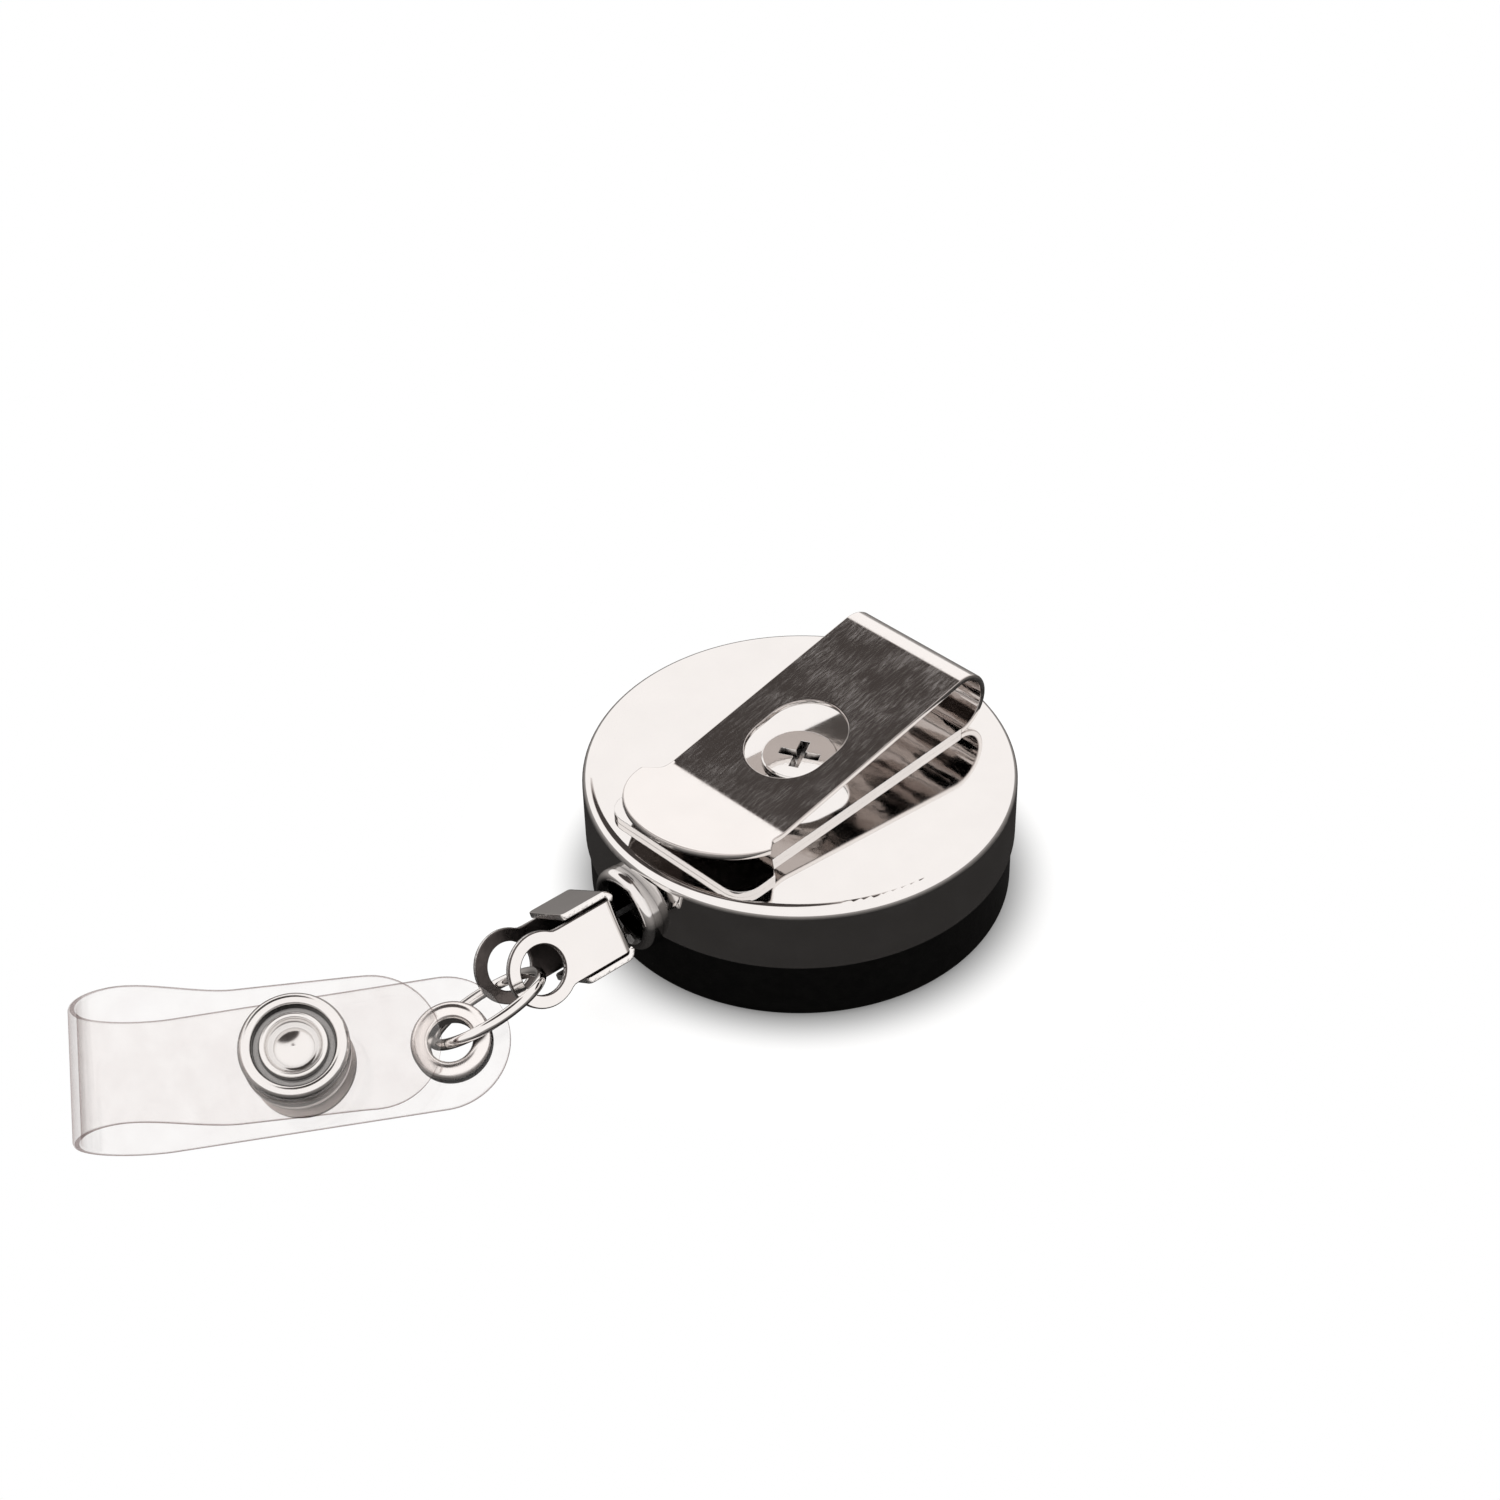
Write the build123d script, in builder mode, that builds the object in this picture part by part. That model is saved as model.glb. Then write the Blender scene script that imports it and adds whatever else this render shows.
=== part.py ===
from build123d import *
from math import acos, cos, degrees, radians, sin, tan
import os

# Retractable badge reel, millimetres. The reel's axis is Z and the front cover's face is Z = 0.
# The cord leaves the case along -Y. The belt clip is on the +Z side.

# ---- driving dimensions -------------------------------------------------------------------
case_radius = 20.0
case_height = 13.2
seam_height = 6.4
seam_gap = 0.02
wall = 0.8
cover_step = 0.3            # the chrome cup stands this much proud of the painted cover
cover_edge = 1.0            # edge rounding of the painted cover
case_edge = 1.0             # edge rounding of the chrome cup
spigot_height = 2.0         # the cover's spigot runs this far up inside the cup
running_gap = 0.05

cord_height = 7.7
cord_radius = 0.2
cord_turns = 8
grommet_bore = 2.6
grommet_hole = 3.25
grommet_flange = 4.0
grommet_reach = 1.35        # the rolled lip's outermost point, beyond the case
grommet_inner = 17.35       # inner flange, from the reel's axis

post_radius = 2.5
post_top = 12.0
post_boss = 0.9
thread_radius = 1.5
screw_hole = 1.7
screw_head_radius = 3.5
screw_head_height = 0.5
screw_shoulder = 2.6        # the head's lower part fills the clip's hole
screw_end = 6.8

drum_barrel = 12.05
drum_flange = 17.0
drum_bottom = 1.9
drum_top = 11.3
cavity_radius = 11.0
cavity_top = 8.3
groove_half = 1.8
flange_sheet = 0.7
spring_strip = 0.2
spring_half_turns = 14
washer_sheet = 0.35

clip_heading = 274.8        # degrees from +X, towards the lip
clip_offset = 0.87          # the clip's centreline misses the reel's axis by this much
clip_width = 14.2
clip_sheet = 0.6
clip_fold_radius = 3.25
clip_fold_at = -13.3        # fold centre, along the clip from the reel's axis
clip_slope = 9.0            # degrees that the upper leaf slopes towards the base
clip_bend_at = 10.6
lip_rise = 12.2             # degrees that the lip rises beyond the bend
lip_bend_radius = 4.0
lip_tip_at = 19.8
lip_half_width = 8.2        # the lip is a round head, wider than the leaf
lip_widest_at = 12.9
base_tip_at = 17.2
base_half_width = 8.7       # the base ends in a wider head too
base_widest_at = 13.0
base_corner = 2.2
clip_shoulder = 11.7        # where both leaves begin to widen
clip_play = 11.0            # degrees of fold left open below the upper leaf's root
slot_length = 10.2
slot_width = 8.0
slot_at = 1.24

clevis_start = 22.95        # base plate's outer face, from the reel's axis
clevis_half = 3.4
clevis_sheet = 0.6
clevis_bend = 1.0
clevis_roll = 32.5          # degrees that the ears' normal is turned up from +X
ear_width = 5.2
ear_reach = 9.0             # base plate to eye centre
eye_radius = 3.4
eye_hole_radius = 2.2
tab_length = 5.3
tab_half_width = 3.2
knot_radius = 1.1

ring_radius = 5.4
ring_wire = 0.5
ring_lean = 4.3             # degrees that the ring's plane is turned off the ears' normal
ring_aim = (13.3, 1.3)      # where the ring's centreline crosses the ears' middle plane
ring_seat = (0.2, 0.15)     # where the ring crosses the eyelet, off its centre

strap_width = 11.8
strap_sheet = 0.7
strap_end = 5.07            # strap's end beyond the eyelet centre
strap_heading = 233.9       # degrees from +X
strap_droop = 7.0           # degrees below level
strap_tilt = 27.0           # degrees that the strap's face leans about its own length
eyelet_place = (2.42, -41.63, 6.77)
eyelet_flange = 3.5
eyelet_bore = 1.95
snap_at = 12.9              # snap's axis, from the eyelet centre
snap_radius = 4.7
snap_pivot = 2.3            # the socket leans on the stud about this height
flap_lean = 8.0             # degrees that the flap climbs towards the fold
flap_rise = 4.25            # underside of the flap at the snap, above the strap's back
flap_end = 0.6              # the flap's rounded end, from the eyelet centre
flap_end_rise = 1.95
loop_tip = 31.05            # the fold's furthest point, from the eyelet centre
loop_crown = 10.4
hinge_at = 28.7             # where the flap folds open, from the eyelet centre
hinge_gap = 0.22

# ---- derived sizes ------------------------------------------------------------------------
cover_radius = case_radius - cover_step
inside_radius = case_radius - wall
spigot_radius = inside_radius - running_gap
back_plate = case_height - wall
coil_radius = drum_barrel + cord_radius + 0.01
lead_radius = coil_radius + 2 * cord_radius + 0.02
grommet_barrel = grommet_hole - running_gap
clip_top = case_height + clip_sheet
sheet_middle = clip_sheet / 2
strap_middle = strap_sheet / 2
flap_middle = flap_rise + strap_middle

os.makedirs("parts", exist_ok=True)


def save(builder, name):
    """Label a finished piece and write it as one STEP file."""
    builder.part.label = name
    export_step(builder.part, f"parts/{name}.step")


def direction(heading, elevation=0.0):
    """Unit vector at a heading from +X and an elevation above level, in degrees."""
    level = cos(radians(elevation))
    return Vector(level * cos(radians(heading)), level * sin(radians(heading)), sin(radians(elevation)))


# ---- frames -------------------------------------------------------------------------------
cord_axis = Axis((0, 0, cord_height), (0, -1, 0))
# across the cord: local Y is up and local Z points out of the grommet
mouth_plane = Plane(origin=(0, 0, cord_height), x_dir=(1, 0, 0), z_dir=(0, -1, 0))
# along the cord: local X runs out of the grommet, local Y is a radius
cord_plane = Plane(origin=(0, 0, cord_height), x_dir=(0, -1, 0), z_dir=(1, 0, 0))

# clip: local X runs towards the lip; local Y is up in the side view
clip_along = direction(clip_heading)
clip_centre = Vector(0, 0, 1).cross(clip_along) * clip_offset
clip_side = Plane(origin=clip_centre, x_dir=clip_along, z_dir=clip_along.cross(Vector(0, 0, 1)))
clip_view = Plane(origin=clip_centre, x_dir=clip_along, z_dir=(0, 0, 1))

# clevis: local X runs out along the cord and local Z is the ears' normal
ear_normal = Vector(cos(radians(clevis_roll)), 0, sin(radians(clevis_roll)))
ear_plane = Plane(origin=(0, -clevis_start, cord_height), x_dir=(0, -1, 0), z_dir=ear_normal)
tab_plane = Plane(origin=ear_plane.origin, x_dir=ear_plane.x_dir, z_dir=ear_plane.y_dir)
eye_centre = ear_plane.from_local_coords(Vector(ear_reach, 0, 0))

# strap: local X runs from the eyelet towards the fold and local Z is the face's normal
strap_along = direction(strap_heading, -strap_droop)
strap_level = Vector(0, 0, 1).cross(strap_along).normalized()
strap_upward = strap_along.cross(strap_level)
strap_normal = strap_upward * cos(radians(strap_tilt)) + strap_level * sin(radians(strap_tilt))
strap_plane = Plane(origin=eyelet_place, x_dir=strap_along, z_dir=strap_normal)
loop_plane = Plane(origin=eyelet_place, x_dir=strap_along, z_dir=strap_along.cross(strap_normal))
eyelet_axis = Axis(eyelet_place, strap_normal)
snap_centre = strap_plane.from_local_coords(Vector(snap_at, 0, 0))
snap_plane = Plane(origin=snap_centre, x_dir=strap_along, z_dir=strap_normal)
snap_side = Plane(origin=snap_centre, x_dir=strap_along, z_dir=loop_plane.z_dir)
snap_axis = Axis(snap_centre, strap_normal)

# flap at the snap: leans about the stud's ball; local X runs towards the fold
flap_normal = strap_normal * cos(radians(flap_lean)) - strap_along * sin(radians(flap_lean))
flap_along = strap_along * cos(radians(flap_lean)) + strap_normal * sin(radians(flap_lean))
flap_origin = snap_centre + (strap_normal - flap_normal) * snap_pivot
flap_plane = Plane(origin=flap_origin, x_dir=flap_along, z_dir=flap_normal)
flap_side = Plane(origin=flap_origin, x_dir=flap_along, z_dir=loop_plane.z_dir)
flap_axis = Axis(flap_origin, flap_normal)

# jump ring: its plane holds the line from the eyes to the eyelet
ring_crossing = ear_plane.from_local_coords(Vector(ring_aim[0], ring_aim[1], 0))
ring_far = strap_plane.from_local_coords(Vector(ring_seat[0], ring_seat[1], strap_middle))
ring_along = (ring_far - ring_crossing).normalized()
ring_square = ring_along.cross(ear_normal).normalized()
ring_normal = ring_square * cos(radians(ring_lean)) + ring_along.cross(ring_square) * sin(radians(ring_lean))
ring_plane = Plane(origin=ring_far - ring_along * ring_radius, x_dir=ring_along, z_dir=ring_normal)

# ---- case ---------------------------------------------------------------------------------
with BuildPart() as front_cover:
    with BuildSketch(Plane.XZ):
        with BuildLine():
            Polyline(
                (cover_radius - cover_edge, 0),
                (0, 0),
                (0, wall),
                (spigot_radius - wall, wall),
                (spigot_radius - wall, seam_height + spigot_height),
                (spigot_radius, seam_height + spigot_height),
                (spigot_radius, seam_height),
                (cover_radius, seam_height),
                (cover_radius, cover_edge),
            )
            RadiusArc((cover_radius - cover_edge, 0), (cover_radius, cover_edge), -cover_edge)
        make_face()
    revolve(axis=Axis.Z)
    with BuildSketch(Plane.XY.offset(wall)):
        Circle(post_radius + 1.2)
        Circle(post_radius + 0.1, mode=Mode.SUBTRACT)
    extrude(amount=post_boss)
    with BuildSketch(mouth_plane):
        Circle(grommet_hole)
    extrude(amount=case_radius + 1, mode=Mode.SUBTRACT)
save(front_cover, "front_cover")

with BuildPart() as back_case:
    with BuildSketch(Plane.XZ):
        with BuildLine():
            Polyline(
                (case_radius - case_edge, case_height),
                (screw_hole, case_height),
                (screw_hole, back_plate),
                (inside_radius - case_edge + wall, back_plate),
            )
            RadiusArc(
                (inside_radius - case_edge + wall, back_plate),
                (inside_radius, back_plate - case_edge + wall),
                case_edge - wall,
            )
            Polyline(
                (inside_radius, back_plate - case_edge + wall),
                (inside_radius, seam_height + seam_gap),
                (case_radius, seam_height + seam_gap),
                (case_radius, case_height - case_edge),
            )
            RadiusArc(
                (case_radius - case_edge, case_height),
                (case_radius, case_height - case_edge),
                case_edge,
            )
        make_face()
    revolve(axis=Axis.Z)
    with BuildSketch(mouth_plane):
        Circle(grommet_hole)
    extrude(amount=case_radius + 1, mode=Mode.SUBTRACT)
save(back_case, "back_case")

# The lip is a rolled funnel. The outer flange's back follows the case's round wall.
with BuildPart() as grommet:
    with BuildSketch(cord_plane):
        with BuildLine():
            Polyline(
                (case_radius - 0.2, grommet_bore),
                (case_radius - 0.6, grommet_bore),
                (case_radius - 0.6, grommet_flange),
                (case_radius + 0.4, grommet_flange),
            )
            ThreePointArc(
                (case_radius + 0.4, grommet_flange),
                (case_radius + grommet_reach - 0.2, grommet_flange - 0.25),
                (case_radius + grommet_reach, grommet_flange - 0.8),
            )
            ThreePointArc(
                (case_radius + grommet_reach, grommet_flange - 0.8),
                (case_radius + 0.65, grommet_bore + 0.15),
                (case_radius - 0.2, grommet_bore),
            )
        make_face()
    revolve(axis=cord_axis)
    Cylinder(
        case_radius + 0.01,
        3 * case_height,
        mode=Mode.SUBTRACT,
    )
    with BuildSketch(cord_plane):
        with BuildLine():
            Polyline(
                (grommet_inner, grommet_bore),
                (case_radius + 0.1, grommet_bore + 0.05),
                (case_radius + 0.1, grommet_barrel),
                (grommet_inner + 0.5, grommet_barrel),
                (grommet_inner + 0.5, grommet_flange - 0.1),
                (grommet_inner, grommet_flange - 0.1),
                close=True,
            )
        make_face()
    revolve(axis=cord_axis)
save(grommet, "grommet")

# ---- post, screw and washers --------------------------------------------------------------
with BuildPart() as centre_post:
    with BuildSketch(Plane.XY.offset(wall + running_gap)):
        Circle(post_radius)
    extrude(amount=post_top - wall - running_gap)
    with BuildSketch(Plane.XY.offset(screw_end - 0.3)):
        Circle(thread_radius)
    extrude(amount=post_top, mode=Mode.SUBTRACT)
    chamfer(centre_post.edges().filter_by(GeomType.CIRCLE).sort_by(Axis.Z)[0], 0.3)
save(centre_post, "centre_post")

with BuildPart() as clip_screw:
    with BuildSketch(Plane.XY.offset(clip_top)):
        Circle(screw_head_radius)
    extrude(amount=screw_head_height)
    chamfer(clip_screw.edges().filter_by(GeomType.CIRCLE).sort_by(Axis.Z)[-1], 0.12)
    with BuildSketch(Plane.XY.offset(clip_top)):
        Circle(screw_shoulder)
    extrude(amount=running_gap - clip_sheet)
    with BuildSketch(Plane.XY.offset(clip_top + screw_head_height)):
        Rectangle(3.8, 0.9, rotation=31)
        Rectangle(0.9, 3.8, rotation=31)
    extrude(amount=-0.9, taper=12, mode=Mode.SUBTRACT)
    with BuildSketch(Plane.XY.offset(case_height + running_gap)):
        Circle(thread_radius - 0.02)
    extrude(amount=screw_end - case_height - running_gap)
save(clip_screw, "clip_screw")

with BuildPart() as lock_washer:
    with BuildSketch(Plane.XY.offset(post_top + 0.02)):
        Circle(3.4)
        Circle(screw_hole, mode=Mode.SUBTRACT)
        with PolarLocations(3.4, 8):
            Rectangle(0.7, 0.5, mode=Mode.SUBTRACT)
    extrude(amount=washer_sheet)
save(lock_washer, "lock_washer")

with BuildPart() as thrust_washer:
    with BuildSketch(Plane.XY.offset(drum_top + running_gap)):
        Circle(5.6)
        Circle(post_radius + 0.1, mode=Mode.SUBTRACT)
    extrude(amount=washer_sheet)
save(thrust_washer, "thrust_washer")

# ---- drum, mainspring and cord ------------------------------------------------------------
with BuildPart() as drum:
    with BuildSketch(Plane.XZ):
        with BuildLine():
            Polyline(
                (post_radius + running_gap, cavity_top),
                (cavity_radius, cavity_top),
                (cavity_radius, drum_bottom),
                (drum_barrel, drum_bottom),
                (drum_barrel, cord_height - groove_half - flange_sheet),
                (drum_flange, cord_height - groove_half - flange_sheet),
                (drum_flange, cord_height - groove_half),
                (drum_barrel, cord_height - groove_half),
                (drum_barrel, cord_height + groove_half),
                (drum_flange, cord_height + groove_half),
                (drum_flange, cord_height + groove_half + flange_sheet),
                (cavity_radius, cord_height + groove_half + flange_sheet),
                (cavity_radius, cavity_top + 1),
                (post_radius + 1.8, cavity_top + 1),
                (post_radius + 1.8, drum_top),
                (post_radius + running_gap, drum_top),
                close=True,
            )
        make_face()
    revolve(axis=Axis.Z)
    with BuildSketch(Plane.XY.offset(cavity_top)):
        with PolarLocations(7.6, 6):
            Circle(1.6)
    extrude(amount=1, mode=Mode.SUBTRACT)
save(drum, "drum")

with BuildPart() as spring_cover:
    with BuildSketch(Plane.XY.offset(drum_bottom)):
        Circle(cavity_radius - 0.02)
        Circle(post_radius + 1.4, mode=Mode.SUBTRACT)
    extrude(amount=0.5)
save(spring_cover, "spring_cover")

# A spiral of half circles whose centres step from side to side, so both faces are true arcs.
spring_step = (cavity_radius - 0.35 - post_radius - 0.4) / spring_half_turns
with BuildPart() as mainspring:
    with BuildSketch(Plane.XY.offset(drum_bottom + 0.9)):
        with BuildLine():
            ends = []
            for face in (spring_strip / 2, -spring_strip / 2):
                centre = 0.0
                radius = post_radius + 0.3 + face
                side = 1
                first = (centre + radius, 0)
                for half_turn in range(spring_half_turns):
                    CenterArc((centre, 0), radius, 0 if side > 0 else 180, 180)
                    last = (centre - side * radius, 0)
                    centre += side * spring_step
                    radius += spring_step
                    side = -side
                ends.append((first, last))
            Line(ends[0][0], ends[1][0])
            Line(ends[0][1], ends[1][1])
        make_face()
    extrude(amount=cavity_top - drum_bottom - 1.2)
save(mainspring, "mainspring")

with BuildPart() as cord_coil:
    pitch = 1.9 * cord_radius
    for turn in range(cord_turns):
        turn_height = cord_height + (turn - (cord_turns - 1) / 2) * pitch
        with BuildSketch(Plane.XZ):
            with Locations((coil_radius, turn_height)):
                Circle(cord_radius)
    revolve(axis=Axis.Z)
save(cord_coil, "cord_coil")

# From the coil, off at a tangent to the grommet, then straight out of it.
lead_bend = Vector(0, -(grommet_inner + 1.2), cord_height)
lead_angle = 270 + degrees(acos(lead_radius / lead_bend.Y * -1))
lead_start = direction(lead_angle) * lead_radius + Vector(0, 0, cord_height)
cord_split = -(case_radius + 0.6)
with BuildPart() as cord_lead:
    with BuildLine():
        lead_path = FilletPolyline(lead_start, lead_bend, (0, cord_split + 0.05, cord_height), radius=1.2)
    with BuildSketch(Plane(origin=lead_path @ 0, z_dir=lead_path % 0)):
        Circle(cord_radius)
    sweep()
save(cord_lead, "cord_lead")

with BuildPart() as pull_cord:
    with BuildSketch(mouth_plane.offset(-cord_split)):
        Circle(cord_radius)
    extrude(amount=clevis_start + clevis_sheet + running_gap + cord_split)
save(pull_cord, "pull_cord")

knot_at = clevis_start + clevis_sheet + 2 * running_gap + knot_radius
with BuildPart() as cord_knot:
    with Locations((0, -knot_at, cord_height)):
        Sphere(knot_radius)
    with BuildSketch(Plane(origin=(0, -knot_at, cord_height), z_dir=(0, -1, 0))):
        Circle(cord_radius)
    extrude(amount=knot_radius + 0.7)
save(cord_knot, "cord_knot")

# ---- belt clip ----------------------------------------------------------------------------
# One bent strip, drawn as its centreline in the side view. The base leaf lies along the case,
# the fold is half round, and the upper leaf slopes down to a bend and a flared lip. The fold
# stops short of the upper leaf's root, which leaves room for the leaf to lift.
fold_middle = clip_fold_radius - sheet_middle
fold_centre = Vector(clip_fold_at, case_height + clip_fold_radius)
slope = Vector(cos(radians(clip_slope)), -sin(radians(clip_slope)))
root = fold_centre + Vector(sin(radians(clip_slope)), cos(radians(clip_slope))) * fold_middle
corner = root + slope * ((clip_bend_at - root.X) / slope.X)
bend_angle = clip_slope + lip_rise
bend = corner - slope * lip_bend_radius * tan(radians(bend_angle / 2))


def clip_outline(start, widest_at, half_head, end_line):
    """Top view of a leaf from a square start, through its shoulders, to the head's end line."""
    half = clip_width / 2
    with BuildSketch(clip_view) as outline:
        with BuildLine():
            Polyline(
                (widest_at, -half_head),
                (clip_shoulder, -half),
                (start, -half),
                (start, half),
                (clip_shoulder, half),
                (widest_at, half_head),
            )
            end_line()
        make_face()
    return outline


def round_lip():
    """The lip's end, one arc from side to side."""
    return ThreePointArc((lip_widest_at, lip_half_width), (lip_tip_at, 0), (lip_widest_at, -lip_half_width))


def square_base():
    """The base's straight end."""
    return Polyline(
        (base_widest_at, base_half_width),
        (base_tip_at, base_half_width),
        (base_tip_at, -base_half_width),
        (base_widest_at, -base_half_width),
    )


with BuildPart() as clip_base:
    outline = clip_outline(clip_fold_at, base_widest_at, base_half_width, square_base)
    with BuildSketch(clip_view.offset(case_height)):
        add(outline.sketch_local)
    extrude(amount=clip_sheet)
    fillet(clip_base.edges().filter_by(Axis.Z).group_by(Axis(clip_centre, clip_along))[-1], base_corner)
    with BuildSketch(Plane.XY.offset(case_height)):
        Circle(screw_shoulder + running_gap)
    extrude(amount=clip_sheet, mode=Mode.SUBTRACT)
save(clip_base, "clip_base")

with BuildPart() as clip_bend:
    with BuildSketch(clip_side):
        with BuildLine():
            CenterArc(fold_centre, fold_middle, 90 - clip_slope + clip_play, 180 + clip_slope - clip_play)
        trace(line_width=clip_sheet)
    extrude(amount=clip_width / 2, both=True)
save(clip_bend, "clip_bend")

with BuildPart() as clip_leaf:
    with BuildSketch(clip_side):
        with BuildLine():
            leaf = Line(root, bend)
            knee = JernArc(leaf @ 1, leaf % 1, lip_bend_radius, bend_angle)
            Line(knee @ 1, (knee @ 1) + (knee % 1) * lip_tip_at)
        trace(line_width=clip_sheet)
    extrude(amount=clip_width, both=True)
    add(clip_outline(clip_fold_at, lip_widest_at, lip_half_width, round_lip).sketch)
    extrude(amount=2 * case_height, mode=Mode.INTERSECT)
    with BuildSketch(clip_view.offset(case_height)):
        with Locations((slot_at, 0)):
            SlotOverall(slot_length, slot_width)
    extrude(amount=case_height, mode=Mode.SUBTRACT)
save(clip_leaf, "clip_leaf")

# ---- clevis and jump ring -----------------------------------------------------------------
# A cross-shaped blank: one strip folds up into the two eyed ears and the other into the tabs.
with BuildPart() as clevis:
    with BuildSketch(tab_plane) as ears:
        with Locations((ear_reach / 2, 0)):
            Rectangle(ear_reach, 2 * clevis_half)
        fillet(ears.vertices().group_by(Axis.X)[0], clevis_bend)
        with Locations((clevis_sheet + ear_reach / 2, 0)):
            Rectangle(ear_reach, 2 * (clevis_half - clevis_sheet), mode=Mode.SUBTRACT)
    extrude(amount=ear_width / 2, both=True)
    for level in (-clevis_half, clevis_half - clevis_sheet):
        with BuildSketch(ear_plane.offset(level)):
            with Locations((ear_reach, 0)):
                Circle(eye_radius)
        extrude(amount=clevis_sheet)
    with BuildSketch(ear_plane.offset(-clevis_half)):
        with Locations((ear_reach, 0)):
            Circle(eye_hole_radius)
    extrude(amount=2 * clevis_half, mode=Mode.SUBTRACT)
    with BuildSketch(ear_plane) as tabs:
        with Locations((tab_length / 2, 0)):
            Rectangle(tab_length, 2 * clevis_half)
        fillet(tabs.vertices().group_by(Axis.X)[0], clevis_bend)
        with Locations((clevis_sheet + tab_length / 2, 0)):
            Rectangle(tab_length, 2 * (clevis_half - clevis_sheet), mode=Mode.SUBTRACT)
    extrude(amount=tab_half_width, both=True)
    with BuildSketch(Plane(origin=ear_plane.origin, z_dir=(0, -1, 0))):
        Circle(0.7)
    extrude(amount=clevis_sheet, mode=Mode.SUBTRACT)
save(clevis, "clevis")

with BuildPart() as jump_ring:
    with BuildSketch(Plane(origin=ring_far, x_dir=ring_along, z_dir=ring_plane.z_dir.cross(ring_along))):
        Circle(ring_wire)
    revolve(axis=Axis(ring_plane.origin, ring_plane.z_dir), revolution_arc=359)
save(jump_ring, "jump_ring")

# ---- strap --------------------------------------------------------------------------------
# Side view of the folded strap as one centreline, cut in two where the flap folds open.
seat_along = Vector(cos(radians(flap_lean)), sin(radians(flap_lean)))
seat_up = Vector(-sin(radians(flap_lean)), cos(radians(flap_lean)))
seat_centre = Vector(snap_at, snap_pivot) + seat_up * (flap_middle - snap_pivot)
with BuildPart() as strap_band:
    with BuildSketch(loop_plane):
        with BuildLine():
            back = Line((-strap_end, strap_middle), (24, strap_middle))
            loop = Spline(
                back @ 1,
                (loop_tip, 5.2),
                (26.2, loop_crown),
                seat_centre + seat_along * snap_radius,
                tangents=((1, 0), (0, 1), (-1, 0), seat_along * -1),
            )
            seat = Line(loop @ 1, seat_centre - seat_along * snap_radius)
            Spline(seat @ 1, (flap_end, flap_end_rise), tangents=(seat_along * -1, (-1, -0.25)))
        trace(line_width=strap_sheet)
    extrude(amount=strap_width / 2, both=True)


def rounded_strap(end):
    """Top view of a strap layer from its rounded end to beyond the fold."""
    with BuildSketch(strap_plane.offset(-1)) as outline:
        with Locations((end + strap_width / 2, 0)):
            Circle(strap_width / 2 - 0.01)
        with Locations((end + strap_width / 2 + 25, 0)):
            Rectangle(50, strap_width + 1)
    return outline.sketch


with BuildPart() as strap_back:
    add(strap_band.part)
    with BuildSketch(loop_plane):
        with Locations((hinge_at - hinge_gap - 25, 0)):
            Rectangle(50, 2.9)
    extrude(amount=strap_width, both=True, mode=Mode.INTERSECT)
    add(rounded_strap(-strap_end))
    extrude(amount=4, dir=strap_normal, mode=Mode.INTERSECT)
    with BuildSketch(strap_plane):
        Circle(eyelet_bore + 0.45)
        with Locations((snap_at, 0)):
            Circle(1.25)
    extrude(amount=strap_sheet, mode=Mode.SUBTRACT)
save(strap_back, "strap_back")

with BuildPart() as strap_front:
    add(strap_band.part)
    with BuildSketch(loop_plane):
        with Locations((hinge_at + hinge_gap - 25, 0)):
            Rectangle(50, 2.9)
    extrude(amount=strap_width, both=True, mode=Mode.SUBTRACT)
    add(rounded_strap(flap_end))
    extrude(amount=16, dir=strap_normal, mode=Mode.INTERSECT)
    with BuildSketch(flap_plane.offset(flap_rise - 0.2)):
        Circle(1.25)
    extrude(amount=strap_sheet + 0.4, mode=Mode.SUBTRACT)
save(strap_front, "strap_front")

# ---- eyelet and snap ----------------------------------------------------------------------
with BuildPart() as eyelet:
    with BuildSketch(loop_plane):
        with BuildLine():
            Polyline(
                (eyelet_bore, 0.9),
                (eyelet_bore, -0.62),
                (eyelet_bore + 0.4, -0.62),
                (eyelet_bore + 0.4, strap_sheet + 0.02),
                (eyelet_flange, strap_sheet + 0.02),
            )
            ThreePointArc(
                (eyelet_flange, strap_sheet + 0.02),
                ((eyelet_bore + eyelet_flange) / 2 + 0.1, strap_sheet + 0.6),
                (eyelet_bore, 0.9),
            )
        make_face()
    revolve(axis=eyelet_axis)
save(eyelet, "eyelet")

with BuildPart() as eyelet_washer:
    with BuildSketch(strap_plane.offset(-0.37)):
        Circle(eyelet_flange)
        Circle(eyelet_bore + 0.42, mode=Mode.SUBTRACT)
    extrude(amount=0.35)
save(eyelet_washer, "eyelet_washer")

# Snap, from the underside up: domed cap with its shank, stud, socket, and the rolled ring.
with BuildPart() as snap_cap:
    with BuildSketch(snap_plane.offset(-0.02)):
        Circle(4.5)
    extrude(amount=-0.9)
    fillet(snap_cap.edges().filter_by(GeomType.CIRCLE).sort_by(snap_axis)[0], 0.6)
    with BuildSketch(snap_plane.offset(-0.02)):
        Circle(1.0)
    extrude(amount=1.6)
save(snap_cap, "snap_cap")

with BuildPart() as snap_stud:
    with BuildSketch(snap_side):
        with BuildLine():
            Polyline(
                (1.05, 0.72),
                (3.7, 0.72),
                (3.7, 1.15),
                (1.6, 1.15),
                (1.6, 1.7),
            )
            ThreePointArc((1.6, 1.7), (1.8, 2.2), (1.5, 2.8))
            Polyline((1.5, 2.8), (1.05, 2.9), (1.05, 0.72))
        make_face()
    revolve(axis=snap_axis)
save(snap_stud, "snap_stud")

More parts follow.
